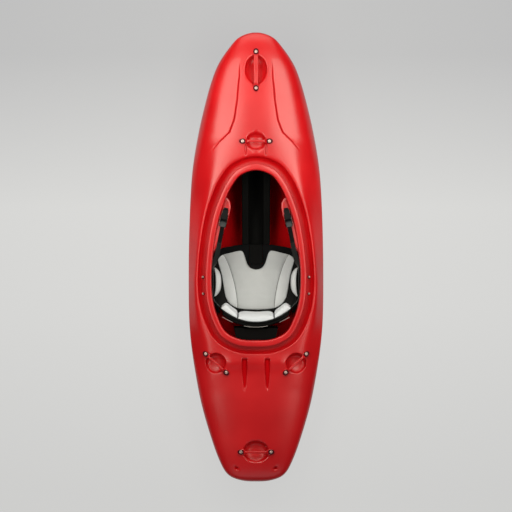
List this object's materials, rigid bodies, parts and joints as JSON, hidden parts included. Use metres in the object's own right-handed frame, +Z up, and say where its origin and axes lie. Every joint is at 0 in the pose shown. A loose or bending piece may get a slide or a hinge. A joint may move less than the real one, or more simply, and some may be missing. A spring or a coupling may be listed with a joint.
{
  "type": "whitewater kayak",
  "caption": "Short moulded whitewater kayak with open cockpit, rim for a spraydeck, seat, hip pads, ratcheted backband, pillars, foot brace and carry handles.",
  "frame": {"origin": "middle of the bounding box at the lowest level, on the flat of the bottom", "axes": "+X to the bow, +Y to port, +Z up"},
  "size_m": [2.215, 0.6668, 0.3538],
  "materials": {
    "polyethylene": "rotomoulded polyethylene, satin",
    "handle_plastic": "moulded plastic, satin",
    "black_plastic": "moulded plastic, fine grain",
    "grey_plastic": "moulded plastic",
    "black_foam": "closed-cell foam",
    "grey_fabric": "laminated fabric over foam",
    "white_fabric": "laminated fabric over foam",
    "webbing": "woven webbing",
    "stainless_steel": "turned steel"
  },
  "bodies": {
    "hull": {"hull_shell": "polyethylene", "bow_handle": "handle_plastic", "front_deck_handle": "handle_plastic", "side_handle_left": "handle_plastic", "side_handle_right": "handle_plastic", "stern_handle": "handle_plastic", "bow_handle_screw_1": "stainless_steel", "bow_handle_screw_2": "stainless_steel", "front_deck_handle_screw_1": "stainless_steel", "front_deck_handle_screw_2": "stainless_steel", "side_handle_left_screw_1": "stainless_steel", "side_handle_left_screw_2": "stainless_steel", "side_handle_right_screw_1": "stainless_steel", "side_handle_right_screw_2": "stainless_steel", "stern_handle_screw_1": "stainless_steel", "stern_handle_screw_2": "stainless_steel", "seat_bolt_left_1": "stainless_steel", "seat_bolt_left_2": "stainless_steel", "seat_bolt_right_1": "stainless_steel", "seat_bolt_right_2": "stainless_steel", "front_pillar": "black_plastic", "pillar_block": "black_plastic", "rear_pillar": "black_foam", "foot_rail_left": "grey_plastic", "foot_rail_right": "grey_plastic", "ratchet_base_left": "black_plastic", "ratchet_base_right": "black_plastic", "lever_pin_left": "stainless_steel", "lever_pin_right": "stainless_steel", "release_pin_left": "stainless_steel", "release_pin_right": "stainless_steel"},
    "seat": {"seat_pan": "black_plastic", "seat_pad": "grey_fabric", "hip_pad_left": "grey_fabric", "hip_pad_right": "grey_fabric", "hip_foam_left": "black_foam", "hip_foam_right": "black_foam", "seat_hanger_left": "black_plastic", "seat_hanger_right": "black_plastic"},
    "foot_brace": {"foot_brace_beam": "black_plastic", "foot_plate_left": "black_plastic", "foot_plate_right": "black_plastic", "foot_foam_left": "black_foam", "foot_foam_right": "black_foam"},
    "foot_knob": {"foot_brace_knob": "grey_plastic"},
    "backband": {"backband_shell": "black_plastic", "backband_pad_centre": "white_fabric", "backband_pad_left": "white_fabric", "backband_pad_right": "white_fabric", "backband_strap_left": "webbing", "backband_strap_right": "webbing"},
    "tongue_left": {"ladder_tongue_left": "black_plastic"},
    "tongue_right": {"ladder_tongue_right": "black_plastic"},
    "lever_left": {"ratchet_lever_left": "black_plastic"},
    "lever_right": {"ratchet_lever_right": "black_plastic"},
    "release_left": {"ratchet_release_left": "grey_plastic"},
    "release_right": {"ratchet_release_right": "grey_plastic"}
  },
  "joints": [
    {"name": "seat_slide", "type": "slide", "parent": "hull", "child": "seat", "axis": [1, 0, 0], "range_m": [-0.02, 0]},
    {"name": "foot_brace_slide", "type": "slide", "parent": "hull", "child": "foot_brace", "axis": [1, 0, 0], "range_m": [-0.08, 0.08]},
    {"name": "foot_knob_turn", "type": "hinge", "parent": "foot_brace", "child": "foot_knob", "pos_m": [0.6353, 0, 0.23], "axis": [0, 0, 1], "range_deg": [0, 180]},
    {"name": "backband_slide", "type": "slide", "parent": "hull", "child": "backband", "axis": [1, 0, 0], "range_m": [0, 0.04]},
    {"name": "tongue_left_slide", "type": "slide", "parent": "backband", "child": "tongue_left", "axis": [0, -1, 0], "range_m": [0, 0.0079]},
    {"name": "tongue_right_slide", "type": "slide", "parent": "backband", "child": "tongue_right", "axis": [0, 1, 0], "range_m": [0, 0.0079]},
    {"name": "lever_left_turn", "type": "hinge", "parent": "hull", "child": "lever_left", "pos_m": [0.19487, 0.15566, 0.3038], "axis": [-0.1908, -0.9816, 0], "range_deg": [0, 55], "stiffness_Nm_per_rad": 0.05, "springref_deg": -11.46},
    {"name": "release_left_turn", "type": "hinge", "parent": "hull", "child": "release_left", "pos_m": [0.17426, 0.15967, 0.3018], "axis": [-0.1908, -0.9816, 0], "range_deg": [0, 25], "stiffness_Nm_per_rad": 0.05, "springref_deg": -11.46},
    {"name": "lever_right_turn", "type": "hinge", "parent": "hull", "child": "lever_right", "pos_m": [0.19487, -0.15566, 0.3038], "axis": [0.1908, -0.9816, 0], "range_deg": [0, 55], "stiffness_Nm_per_rad": 0.05, "springref_deg": -11.46},
    {"name": "release_right_turn", "type": "hinge", "parent": "hull", "child": "release_right", "pos_m": [0.17426, -0.15967, 0.3018], "axis": [0.1908, -0.9816, 0], "range_deg": [0, 25], "stiffness_Nm_per_rad": 0.05, "springref_deg": -11.46}
  ],
  "couplings": [
    {"joint": "tongue_left_slide", "follows": "backband_slide", "ratio": 0.19438},
    {"joint": "tongue_right_slide", "follows": "backband_slide", "ratio": 0.19438}
  ]
}
